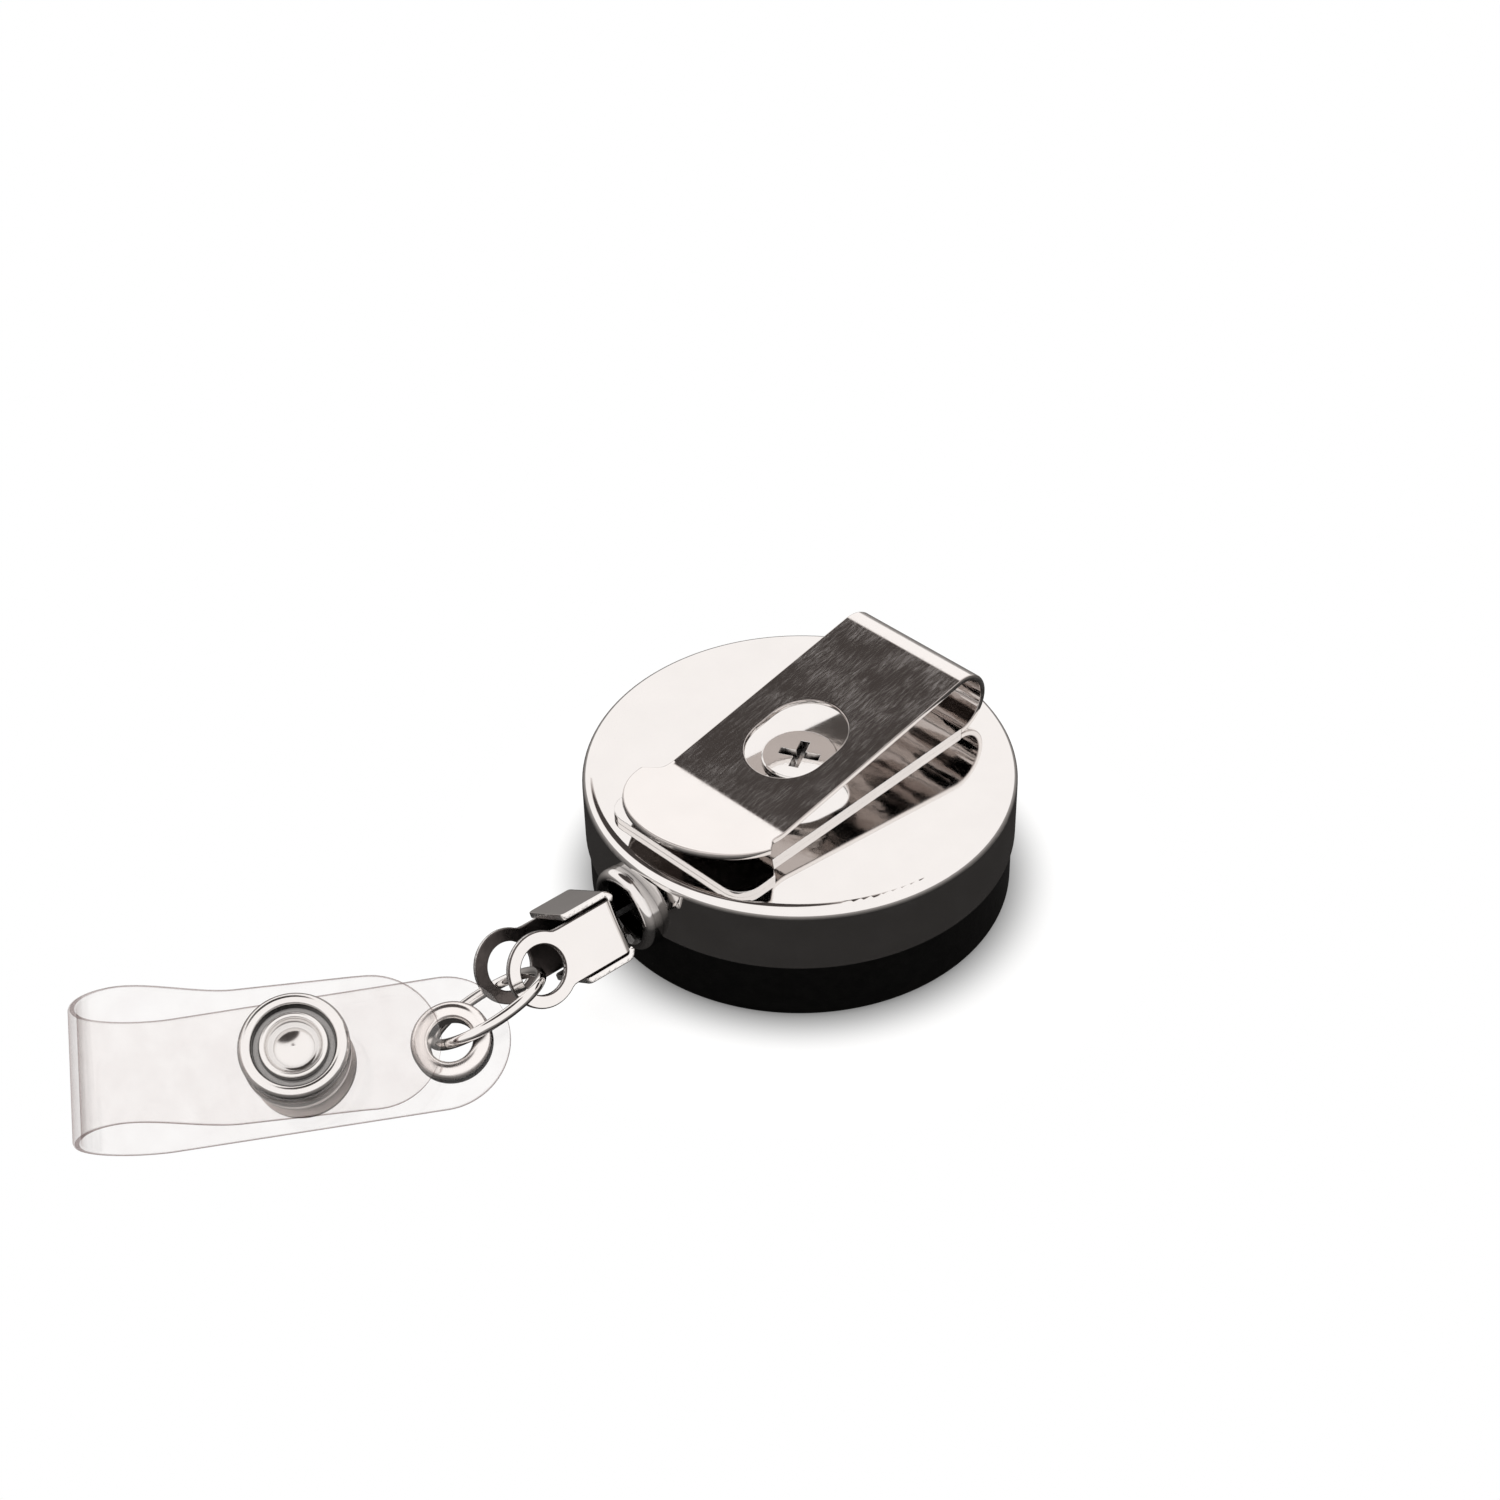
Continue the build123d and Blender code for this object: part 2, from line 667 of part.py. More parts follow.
with BuildPart() as snap_socket:
    with BuildSketch(flap_side):
        with BuildLine():
            Polyline(
                (2.15, 1.8),
                (3.6, 1.8),
                (4.5, 2.3),
                (4.6, 2.85),
                (4.35, 3.1),
                (4.6, 3.35),
                (4.6, flap_rise - 0.03),
                (1.1, flap_rise - 0.03),
                (1.1, 3.4),
                (2.15, 3.2),
                close=True,
            )
        make_face()
    revolve(axis=flap_axis)
save(snap_socket, "snap_socket")

# Rolled rim, groove, inner rim around a domed middle, and the shank that rivets it to the socket.
snap_floor = flap_rise + strap_sheet + 0.02
snap_top = snap_floor + 1.35
dome_radius = (1.75 ** 2 + 0.4 ** 2) / 0.8
dome_middle = dome_radius * sin(radians(12))
dome_height = snap_floor + 0.75 - dome_radius * (1 - cos(radians(12)))
with BuildPart() as snap_ring:
    with BuildSketch(flap_side):
        with BuildLine():
            Polyline((0, snap_floor + 0.75), (0, 3.5), (1.05, 3.5), (1.05, snap_floor), (snap_radius - 0.25, snap_floor))
            ThreePointArc(
                (snap_radius - 0.25, snap_floor),
                (snap_radius, snap_floor + 0.65),
                (snap_radius - 0.2, snap_top - 0.25),
            )
            ThreePointArc(
                (snap_radius - 0.2, snap_top - 0.25),
                (snap_radius - 0.65, snap_top),
                (snap_radius - 1.15, snap_top - 0.35),
            )
            Polyline(
                (snap_radius - 1.15, snap_top - 0.35),
                (snap_radius - 1.25, snap_floor + 0.4),
                (2.95, snap_floor + 0.4),
                (2.9, snap_top - 0.35),
            )
            ThreePointArc((2.9, snap_top - 0.35), (2.65, snap_top - 0.15), (2.4, snap_top - 0.35))
            ThreePointArc((2.4, snap_top - 0.35), (2.2, snap_floor + 0.55), (1.75, snap_floor + 0.35))
            ThreePointArc((1.75, snap_floor + 0.35), (dome_middle, dome_height), (0, snap_floor + 0.75))
        make_face()
    revolve(axis=flap_axis)
save(snap_ring, "snap_ring")
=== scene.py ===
import math

import bmesh
import bpy
from mathutils import Matrix, Vector


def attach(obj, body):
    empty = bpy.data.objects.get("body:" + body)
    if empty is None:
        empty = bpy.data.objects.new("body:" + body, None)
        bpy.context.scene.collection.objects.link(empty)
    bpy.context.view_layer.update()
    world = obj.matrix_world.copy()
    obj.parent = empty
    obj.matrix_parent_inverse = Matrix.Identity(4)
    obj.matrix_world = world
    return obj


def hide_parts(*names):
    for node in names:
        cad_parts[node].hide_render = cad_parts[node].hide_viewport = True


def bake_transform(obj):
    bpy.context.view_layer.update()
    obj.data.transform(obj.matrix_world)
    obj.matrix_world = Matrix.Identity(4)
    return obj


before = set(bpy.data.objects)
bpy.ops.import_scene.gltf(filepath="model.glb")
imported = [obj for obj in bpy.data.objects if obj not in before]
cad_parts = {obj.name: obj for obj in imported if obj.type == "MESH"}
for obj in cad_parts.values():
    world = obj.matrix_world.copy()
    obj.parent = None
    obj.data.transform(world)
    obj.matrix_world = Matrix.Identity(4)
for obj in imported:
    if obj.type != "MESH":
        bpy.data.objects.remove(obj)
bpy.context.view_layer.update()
MM = 0.001


# ---- frames: x, y and z axes and an origin in millimetres, as a matrix from local mm to metres ----
def frame_at(origin, x_dir, z_dir):
    x = Vector(x_dir).normalized()
    z = Vector(z_dir)
    z = (z - x * z.dot(x)).normalized()
    y = z.cross(x)
    m = Matrix((x, y, z)).transposed() * MM
    m = m.to_4x4()
    m.translation = Vector(origin) * MM
    return m


def heading(degrees):
    return Vector((math.cos(math.radians(degrees)), math.sin(math.radians(degrees)), 0))


UP = Vector((0, 0, 1))
CORD_Z = 7.7
CLIP_HEADING = 274.8
CLIP_OFFSET = 0.87
CLIP = frame_at(UP.cross(heading(CLIP_HEADING)) * CLIP_OFFSET, heading(CLIP_HEADING), UP)
ROLL = math.radians(32.5)
EAR = frame_at((0, -22.95, CORD_Z), (0, -1, 0), (math.cos(ROLL), 0, math.sin(ROLL)))
droop, tilt = math.radians(7), math.radians(27)
along = heading(233.9) * math.cos(droop) - UP * math.sin(droop)
level = UP.cross(along).normalized()
facing = along.cross(level) * math.cos(tilt) + level * math.sin(tilt)
STRAP = frame_at((2.42, -41.63, 6.77), along, facing)


# ---- mesh helpers -----------------------------------------------------------------------------
def finish_mesh(bm, name, materials, sharp=35):
    bmesh.ops.recalc_face_normals(bm, faces=bm.faces)
    for face in bm.faces:
        face.smooth = True
    for edge in bm.edges:
        if len(edge.link_faces) == 2 and edge.calc_face_angle(0) > math.radians(sharp):
            edge.smooth = False
    mesh = bpy.data.meshes.new(name)
    bm.to_mesh(mesh)
    bm.free()
    for material in materials:
        mesh.materials.append(material)
    obj = bpy.data.objects.new(name, mesh)
    bpy.context.scene.collection.objects.link(obj)
    return obj


def even_shading(obj):
    """Keeps wide faces flat in shade next to their narrow rounded rims."""
    weighted = obj.modifiers.new("even_shading", "WEIGHTED_NORMAL")
    weighted.mode = "FACE_AREA"
    weighted.weight = 80
    weighted.keep_sharp = True


def sheet(name, outline, holes, thickness, edge, place, cuts, materials, rim=0, under=0):
    """A flat plate with rounded rims, cut across at the stations, then put in place by a function."""
    bm = bmesh.new()
    edges = []
    for loop in [outline] + list(holes):
        verts = [bm.verts.new((x, y, -thickness / 2)) for x, y in loop]
        for i, v in enumerate(verts):
            edges.append(bm.edges.new((v, verts[(i + 1) % len(verts)])))
    bmesh.ops.triangle_fill(bm, use_beauty=True, use_dissolve=True, edges=edges)
    bmesh.ops.recalc_face_normals(bm, faces=bm.faces)
    grown = bmesh.ops.extrude_face_region(bm, geom=list(bm.faces))
    top = [g for g in grown["geom"] if isinstance(g, bmesh.types.BMVert)]
    bmesh.ops.translate(bm, verts=top, vec=(0, 0, thickness))
    bmesh.ops.recalc_face_normals(bm, faces=bm.faces)
    for face in bm.faces:
        face.material_index = rim if abs(face.normal.z) < 0.5 else (under if face.normal.z < 0 else 0)
    rims = [e for e in bm.edges if e.calc_face_angle(0) > 1.2]
    bmesh.ops.bevel(bm, geom=rims, offset=edge, segments=2, profile=0.5, affect="EDGES", clamp_overlap=True)
    for station in cuts:
        geom = list(bm.verts) + list(bm.edges) + list(bm.faces)
        bmesh.ops.bisect_plane(bm, geom=geom, dist=1e-5, plane_co=(station, 0, 0), plane_no=(1, 0, 0))
    for v in bm.verts:
        v.co = place(*v.co)
    plate = finish_mesh(bm, name, materials)
    even_shading(plate)
    return plate


class Centreline:
    """A bent strip's side view: points and normals by length along it."""

    def __init__(self, points):
        self.points = [Vector(p) for p in points]
        self.at = [0.0]
        for a, b in zip(self.points, self.points[1:]):
            self.at.append(self.at[-1] + (b - a).length)
        self.length = self.at[-1]

    def place(self, u):
        u = min(max(u, 0.0), self.length)
        i = 0
        while i < len(self.at) - 2 and self.at[i + 1] < u:
            i += 1
        share = (u - self.at[i]) / max(self.at[i + 1] - self.at[i], 1e-9)
        point = self.points[i].lerp(self.points[i + 1], share)
        before, after = self.tangent(i), self.tangent(i + 1)
        tangent = before.lerp(after, share).normalized()
        return point, Vector((-tangent.y, tangent.x))

    def tangent(self, i):
        a = self.points[max(i - 1, 0)]
        b = self.points[min(i + 1, len(self.points) - 1)]
        return (b - a).normalized()


def arc(centre, radius, start, sweep, steps):
    return [
        (
            centre[0] + radius * math.cos(math.radians(start + sweep * i / steps)),
            centre[1] + radius * math.sin(math.radians(start + sweep * i / steps)),
        )
        for i in range(steps + 1)
    ]


def hermite(p0, t0, p1, t1, steps):
    p0, t0, p1, t1 = Vector(p0), Vector(t0), Vector(p1), Vector(t1)
    out = []
    for i in range(steps + 1):
        s = i / steps
        out.append(
            p0 * (2 * s**3 - 3 * s**2 + 1)
            + t0 * (s**3 - 2 * s**2 + s)
            + p1 * (-2 * s**3 + 3 * s**2)
            + t1 * (s**3 - s**2)
        )
    return out


def steps_between(low, high, step):
    count = max(1, round((high - low) / step))
    return [low + (high - low) * i / count for i in range(1, count)]


# ---- materials --------------------------------------------------------------------------------
def node(tree, kind, **values):
    made = tree.nodes.new("ShaderNode" + kind)
    for key, value in values.items():
        if hasattr(made, key):
            setattr(made, key, value)
            continue
        name = int(key[1:]) if key[0] == "i" and key[1:].isdigit() else key.replace("_", " ")
        socket = made.inputs[name]
        if isinstance(value, bpy.types.NodeSocket):
            tree.links.new(value, socket)
        else:
            socket.default_value = value
    return made


def new_material(name):
    material = bpy.data.materials.new(name)
    material.use_nodes = True
    material.node_tree.nodes.clear()
    return material, material.node_tree


def noise(tree, vector, scale, detail=3.0, rough=0.5):
    return node(tree, "TexNoise", Vector=vector, Scale=scale, Detail=detail, Roughness=rough).outputs["Fac"]


def spread(tree, value, low, high, start=0.35, end=0.65):
    made = node(tree, "MapRange", Value=value)
    made.inputs["From Min"].default_value = start
    made.inputs["From Max"].default_value = end
    made.inputs["To Min"].default_value = low
    made.inputs["To Max"].default_value = high
    return made.outputs["Result"]


def mixed_colour(mix):
    return [o for o in mix.outputs if o.type == "RGBA"][0]


def metal(
    name,
    tint,
    rough,
    wave=0.00002,
    wave_scale=120.0,
    grain=0.0,
    grain_scale=3000.0,
    rounded=0.0,
    recess_shade_reach=0.0,
    brush=None,
):
    """Bright metal: patchy gloss, an uneven surface, softened edges, painted shade that darkens its
    recesses, and brush marks.

    wave, grain, rounded and hollow are in metres; brush is the marks' heading in degrees.
    """
    material, tree = new_material(name)
    coords = node(tree, "TexCoord").outputs["Object"]
    patches = noise(tree, coords, 260.0, 4.0)
    rubbed = spread(tree, patches, rough * 0.7, rough * 1.5)
    low_wave = noise(tree, coords, wave_scale, 2.0)
    bump = node(tree, "Bump", Height=low_wave, Strength=1.0, Distance=wave)
    if rounded > 0:
        tree.links.new(node(tree, "Bevel", Radius=rounded, samples=6).outputs[0], bump.inputs["Normal"])
    if grain > 0:
        fine_grain = noise(tree, coords, grain_scale, 2.0)
        coarse = bump.outputs["Normal"]
        bump = node(tree, "Bump", Height=fine_grain, Strength=1.0, Distance=grain, Normal=coarse)
    tinted = node(tree, "Mix", data_type="RGBA")
    tree.links.new(patches, tinted.inputs["Factor"])
    tinted.inputs["A"].default_value = (*[c * 0.93 for c in tint], 1)
    tinted.inputs["B"].default_value = (*tint, 1)
    colour = mixed_colour(tinted)
    if brush is not None:
        turned = node(tree, "Mapping", Vector=coords, vector_type="TEXTURE")
        turned.inputs["Rotation"].default_value = (0, 0, math.radians(brush))
        turned = turned.outputs["Vector"]
        squeezed = node(tree, "VectorMath", operation="MULTIPLY", i0=turned, i1=(0.05, 1.0, 1.0))
        scratches = noise(tree, squeezed.outputs["Vector"], 4200.0, 3.0, 0.7)
        marks = spread(tree, scratches, 0.0, 0.16, 0.4, 0.8)
        rubbed = node(tree, "Math", operation="ADD", i0=rubbed, i1=marks).outputs[0]
    # painted shade: ambient occlusion darkens the base colour in recesses, grooves and bores within the
    # given reach
    if recess_shade_reach > 0:
        open_sky = node(tree, "AmbientOcclusion", Distance=recess_shade_reach, samples=8).outputs["AO"]
        painted_recess_shade = spread(tree, open_sky, 0.06, 1.0, 0.35, 0.9)
        colour = node(tree, "VectorMath", operation="SCALE", i0=colour, Scale=painted_recess_shade).outputs["Vector"]
    shader = node(tree, "BsdfPrincipled", Metallic=1.0, Roughness=rubbed, Normal=bump.outputs["Normal"])
    tree.links.new(colour, shader.inputs["Base Color"])
    node(tree, "OutputMaterial", Surface=shader.outputs["BSDF"])
    return material


def matte(name, dark, light, rough, scale, bump_depth, bump_scale, shine=0.5):
    """Paint, plastic or thread: two close tones mixed by noise, and a fine surface relief."""
    material, tree = new_material(name)
    coords = node(tree, "TexCoord").outputs["Object"]
    tones = node(tree, "Mix", data_type="RGBA")
    tree.links.new(spread(tree, noise(tree, coords, scale, 4.0), 0.0, 1.0), tones.inputs["Factor"])
    tones.inputs["A"].default_value = (*dark, 1)
    tones.inputs["B"].default_value = (*light, 1)
    pits = noise(tree, coords, bump_scale, 2.0)
    relief = node(tree, "Bump", Height=pits, Strength=1.0, Distance=bump_depth)
    shader = node(tree, "BsdfPrincipled", Roughness=rough, Normal=relief.outputs["Normal"])
    shader.inputs["Specular IOR Level"].default_value = shine
    tree.links.new(mixed_colour(tones), shader.inputs["Base Color"])
    node(tree, "OutputMaterial", Surface=shader.outputs["BSDF"])
    return material


def clear_film(name, tint, edge_tint, mirror_limit):
    """Clear soft plastic: lets most light through, reflects by angle, and darkens at grazing angles."""
    material, tree = new_material(name)
    coords = node(tree, "TexCoord").outputs["Object"]
    ripples = noise(tree, coords, 160.0, 2.0)
    relief = node(tree, "Bump", Height=ripples, Strength=1.0, Distance=0.00006)
    normal = relief.outputs["Normal"]
    facing_weight = node(tree, "LayerWeight", Blend=0.35, Normal=normal).outputs["Facing"]
    haze = spread(tree, noise(tree, coords, 420.0, 3.0), 0.0, 0.05)
    grazing = node(tree, "Math", operation="POWER", i0=facing_weight, i1=2.5)
    fac = node(tree, "Math", operation="ADD", i0=grazing.outputs[0], i1=haze, use_clamp=True)
    colour = node(tree, "Mix", data_type="RGBA")
    tree.links.new(fac.outputs[0], colour.inputs["Factor"])
    colour.inputs["A"].default_value = (*tint, 1)
    colour.inputs["B"].default_value = (*edge_tint, 1)
    passes = node(tree, "BsdfTransparent")
    tree.links.new(mixed_colour(colour), passes.inputs["Color"])
    shine = node(tree, "BsdfGlossy", Roughness=0.08, Normal=normal)
    shine.inputs["Color"].default_value = (1, 1, 1, 1)
    mirror = node(tree, "Fresnel", IOR=1.5, Normal=normal).outputs["Fac"]
    mirror = node(tree, "Math", operation="MINIMUM", i0=mirror, i1=mirror_limit).outputs[0]
    mixed = node(tree, "MixShader", i0=mirror, i1=passes.outputs[0], i2=shine.outputs[0])
    node(tree, "OutputMaterial", Surface=mixed.outputs[0])
    return material


CHROME = (0.87, 0.85, 0.835)
case_chrome = metal("case_chrome", CHROME, 0.05, wave=0.000005)
grommet_chrome = metal("grommet_chrome", CHROME, 0.07, recess_shade_reach=0.006)
clip_chrome = metal("clip_chrome", (0.9, 0.87, 0.85), 0.08, wave=0.000006, brush=CLIP_HEADING)
# painted shade: a darker copy of the clip's chrome for the strip's inner face, the side turned towards the
# base
clip_shaded_inside = metal("clip_shaded_inside_chrome", (0.6, 0.56, 0.54), 0.07, wave=0.00006, wave_scale=300.0)
base_chrome = metal("clip_base_chrome", CHROME, 0.06, rounded=0.00012)
screw_chrome = metal("screw_chrome", CHROME, 0.07, grain=0.000004, rounded=0.0001, recess_shade_reach=0.0008)
clevis_chrome = metal("clevis_chrome", CHROME, 0.07)
# painted shade: a dark copy of the chrome for the faces on the clevis's inside, between the ears and under
# the tabs
shaded_inner_chrome = metal("shaded_inner_chrome", (0.11, 0.095, 0.09), 0.3, grain=0.00003, grain_scale=1800.0)
sheared_chrome = metal("sheared_chrome", (0.95, 0.93, 0.91), 0.24, grain=0.00006, grain_scale=2600.0)
ring_chrome = metal("ring_chrome", CHROME, 0.07)
snap_chrome = metal("snap_chrome", CHROME, 0.13, rounded=0.00008, recess_shade_reach=0.0008)
eyelet_chrome = metal("eyelet_chrome", (0.93, 0.9, 0.88), 0.2, recess_shade_reach=0.0006)
satin_chrome = metal("satin_chrome", (0.95, 0.92, 0.9), 0.38)
hidden_steel = metal("hidden_steel", (0.5, 0.5, 0.52), 0.3, grain=0.00001)
blue_steel = metal("blued_steel", (0.3, 0.32, 0.38), 0.25, grain=0.00001)
enamel_dark, enamel_light = (0.0008, 0.0007, 0.0006), (0.0018, 0.0016, 0.0014)
enamel = matte("black_enamel", enamel_dark, enamel_light, 0.4, 900.0, 0.00004, 1500.0, shine=0.15)
drum_plastic = matte("drum_plastic", (0.6, 0.59, 0.55), (0.7, 0.69, 0.65), 0.5, 500.0, 0.00001, 2500.0)
cord_nylon = matte("cord_nylon", (0.01, 0.01, 0.01), (0.03, 0.03, 0.03), 0.6, 4000.0, 0.00004, 9000.0)
vinyl = clear_film("clear_vinyl", (0.98, 0.972, 0.968), (0.64, 0.57, 0.56), 0.10)
# painted shade: a darker copy of the clear vinyl for the strip's cut rims, so its outlines show dark
vinyl_shaded_rim = clear_film("clear_vinyl_shaded_rim", (0.60, 0.54, 0.53), (0.22, 0.17, 0.165), 0.12)

finishes = {
    "back_case": case_chrome,
    "front_cover": enamel,
    "grommet": grommet_chrome,
    "clip_screw": screw_chrome,
    "clip_base": base_chrome,
    "clevis": clevis_chrome,
    "jump_ring": ring_chrome,
    "eyelet": eyelet_chrome,
    "eyelet_washer": snap_chrome,
    "snap_cap": satin_chrome,
    "snap_stud": satin_chrome,
    "snap_socket": satin_chrome,
    "snap_ring": snap_chrome,
    "centre_post": hidden_steel,
    "lock_washer": hidden_steel,
    "spring_cover": hidden_steel,
    "mainspring": blue_steel,
    "thrust_washer": drum_plastic,
    "drum": drum_plastic,
    "cord_coil": cord_nylon,
    "cord_lead": cord_nylon,
    "pull_cord": cord_nylon,
    "cord_knot": cord_nylon,
    "clip_bend": clip_chrome,
    "clip_leaf": clip_chrome,
    "strap_back": vinyl,
    "strap_front": vinyl,
}
for name, finish in finishes.items():
    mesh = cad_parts[name].data
    mesh.materials.clear()
    mesh.materials.append(finish)

SHEET, SHEET_EDGE = 0.6, 0.12

# ---- clip spring: one strip from the base's root, round the fold, to the flared lip ------------
BACK_PLATE_Z = 13.2
FOLD_AT, FOLD_OUTER = -13.3, 3.25
SLOPE, LIP_RISE = 9.0, 12.2
KNEE_AT, KNEE_RADIUS = 10.6, 4.0
LIP_TIP_AT, LIP_SHOULDER_AT = 19.8, 11.7
fold = Vector((FOLD_AT, BACK_PLATE_Z + FOLD_OUTER))
slope = math.radians(SLOPE)
fold_radius = FOLD_OUTER - SHEET / 2
top_of_fold = fold + Vector((math.sin(slope), math.cos(slope))) * fold_radius
run = Vector((math.cos(slope), -math.sin(slope)))
knee_angle = SLOPE + LIP_RISE
to_knee = (KNEE_AT - top_of_fold.x) / run.x - KNEE_RADIUS * math.tan(math.radians(knee_angle / 2))
knee_start = top_of_fold + run * to_knee
knee_centre = knee_start + Vector((math.sin(slope), math.cos(slope))) * KNEE_RADIUS
knee = arc(knee_centre, KNEE_RADIUS, 270 - SLOPE, knee_angle, 12)
rise = Vector((math.cos(math.radians(LIP_RISE)), math.sin(math.radians(LIP_RISE))))
lip_tip = Vector(knee[-1]) + rise * ((LIP_TIP_AT - knee[-1][0]) / rise.x)
clip_line = Centreline(arc(fold, fold_radius, 270, -(180 + SLOPE), 48) + knee + [tuple(lip_tip)])
clip_end = clip_line.length
fold_length = math.radians(180 + SLOPE) * fold_radius
straight_end = fold_length + (knee_start - top_of_fold).length
knee_end = straight_end + math.radians(knee_angle) * KNEE_RADIUS


def on_clip(u, v, h):
    point, normal = clip_line.place(u)
    spot = point - normal * h
    return CLIP @ Vector((spot.x, v, spot.y))


half = 7.1
HEAD_RADIUS, NECK_RADIUS = 8.25, 1.5
SLOT_AT, SLOT_RADIUS, SLOT_SHIFT = 1.24, 4.0, 1.1
shoulder = clip_end - (LIP_TIP_AT - LIP_SHOULDER_AT) / rise.x
neck = arc((shoulder - 0.6, half + NECK_RADIUS), NECK_RADIUS, 270, 48, 5)
head = arc((clip_end - HEAD_RADIUS, 0), HEAD_RADIUS, 112, -224, 44)
lip_outline = [(0.0, -half), (0.0, half)] + neck
lip_outline += [p for p in head if p[0] > neck[-1][0] + 0.4]
lip_outline += [(x, -y) for x, y in reversed(neck)]
slot_middle = fold_length + (SLOT_AT - top_of_fold.x) / run.x
slot_outline = arc((slot_middle + SLOT_SHIFT, 0), SLOT_RADIUS, -90, 180, 28)
slot_outline += arc((slot_middle - SLOT_SHIFT, 0), SLOT_RADIUS, 90, 180, 28)
clip_cuts = steps_between(0, fold_length, 0.22) + [fold_length, straight_end]
clip_cuts += steps_between(straight_end, knee_end, 0.15) + [knee_end]
clip = sheet(
    "clip_spring_strip",
    lip_outline,
    [slot_outline],
    SHEET,
    SHEET_EDGE,
    on_clip,
    clip_cuts,
    [clip_shaded_inside, clip_chrome],
    rim=1,
    under=1,
)
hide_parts("clip_bend", "clip_leaf")
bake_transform(clip)

# ---- clevis: a cross-shaped blank folded into two eyed ears and two tabs, with sheared edges ------


EAR_REACH, EYE, EYE_HOLE, MID = 9.0, 3.4, 2.2, 3.1
CORNER_AT, CORNER = 1.25, 0.95
ears_line = [(EAR_REACH + EYE, MID), (CORNER_AT, MID)]
ears_line += arc((CORNER_AT, MID - CORNER), CORNER, 90, 90, 10)[1:]
ears_line += arc((CORNER_AT, CORNER - MID), CORNER, 180, 90, 10)
ears_line += [(EAR_REACH + EYE, -MID)]
ears_bent = Centreline(ears_line)
reach = ears_bent.length
neck_half = 2.6
ears_outline = arc((EYE, 0), EYE, 54, 252, 44)
ears_outline += [(EYE + 2.25, -neck_half - 0.04), (EYE + 2.7, -neck_half)]
ears_outline += [(reach - EYE - 2.7, -neck_half), (reach - EYE - 2.25, -neck_half - 0.04)]
ears_outline += arc((reach - EYE, 0), EYE, -126, 252, 44)
ears_outline += [(reach - EYE - 2.25, neck_half + 0.04), (reach - EYE - 2.7, neck_half)]
ears_outline += [(EYE + 2.7, neck_half), (EYE + 2.25, neck_half + 0.04)]


def on_ears(u, v, h):
    point, normal = ears_bent.place(u)
    spot = point + normal * h
    return EAR @ Vector((spot.x, v, spot.y))


near_bend = EAR_REACH + EYE - CORNER_AT
near_bend_end = near_bend + math.pi / 2 * CORNER
far_bend = reach - near_bend_end
far_bend_end = reach - near_bend
ears_cuts = [near_bend] + steps_between(near_bend, near_bend_end, 0.16) + [near_bend_end]
ears_cuts += [far_bend] + steps_between(far_bend, far_bend_end, 0.16) + [far_bend_end]
ears = sheet(
    "clevis_ears",
    ears_outline,
    [arc((EYE, 0), EYE_HOLE, 0, 352, 43), arc((reach - EYE, 0), EYE_HOLE, 0, 352, 43)],
    SHEET,
    SHEET_EDGE,
    on_ears,
    ears_cuts,
    [shaded_inner_chrome, sheared_chrome, clevis_chrome],
    rim=1,
    under=2,
)
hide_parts("clevis")
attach(ears, "yoke")


def folded_tab(name, side):
    line = Centreline([(0.3, 2.55)] + arc((0.95, 2.45), 0.65, 180, -90, 8) + [(5.3, MID)])

    def on_tab(u, v, h):
        point, normal = line.place(u)
        spot = point + normal * h
        return EAR @ Vector((spot.x, side * spot.y, v))

    wide, corner = 3.2, 0.5
    corner_at = line.length - corner
    outline = [(0.0, -wide), (0.0, wide)] + arc((corner_at, wide - corner), corner, 90, -90, 5)
    outline += arc((corner_at, corner - wide), corner, 0, -90, 5)
    tab = sheet(
        name,
        outline,
        [],
        SHEET,
        SHEET_EDGE,
        on_tab,
        steps_between(0.1, 1.2, 0.13),
        [clevis_chrome, sheared_chrome, shaded_inner_chrome],
        rim=1,
        under=2,
    )
    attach(tab, "yoke")


folded_tab("clevis_tab_upper", 1)
folded_tab("clevis_tab_lower", -1)

# ---- cord: runs from the drum's side of the grommet to the knot -----
CORD_RADIUS, CORD_SIDES = 0.26, 12
cord_section = arc((0, 0), CORD_RADIUS, 0, 330, CORD_SIDES - 1)
bm = bmesh.new()
rings = []
for y in (-19.7, -20.4, -21.2, -22.1, -22.95, -24.3):
    rings.append([bm.verts.new(Vector((x, y, CORD_Z + z)) * MM) for x, z in cord_section])
for before, after in zip(rings, rings[1:]):
    for i in range(CORD_SIDES):
        j = (i + 1) % CORD_SIDES
        bm.faces.new((before[i], before[j], after[j], after[i]))
bm.faces.new(rings[0])
bm.faces.new(rings[-1])
cord = finish_mesh(bm, "cord_line", [cord_nylon])
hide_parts("pull_cord")
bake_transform(cord)

# ---- strap: one clear strip, folded over and held by the snap ----------------------------------
FILM, FILM_EDGE = 0.7, 0.16
STRAP_WIDTH = 11.8
EYELET_AT, EYELET_HOLE = 5.07, 2.6
LOOP_START = 29.07
FLAP_LEAN = 8
middle = FILM / 2
lean = math.radians(FLAP_LEAN)
seat_dir = Vector((math.cos(lean), math.sin(lean)))
seat = Vector((12.9, 2.3)) + Vector((-seat_dir.y, seat_dir.x)) * (4.25 + middle - 2.3)
strap_points = [(-EYELET_AT, middle), (24.0, middle)]
strap_points += hermite((24.0, middle), (9, 0), (31.05, 5.2), (0, 8), 24)[1:]
strap_points += hermite((31.05, 5.2), (0, 8), (26.2, 10.4), (-8, 0), 24)[1:]
strap_points += hermite((26.2, 10.4), (-9, 0), seat + seat_dir * 4.7, seat_dir * -9, 30)[1:]
strap_points += [seat - seat_dir * 4.7]
strap_points += hermite(seat - seat_dir * 4.7, seat_dir * -7, (0.6, 1.95), (-6, -1.5), 20)[1:]
strap_line = Centreline(strap_points)


def on_strap(u, v, h):
    point, normal = strap_line.place(u)
    spot = point + normal * h
    return STRAP @ Vector((spot.x, v, spot.y))


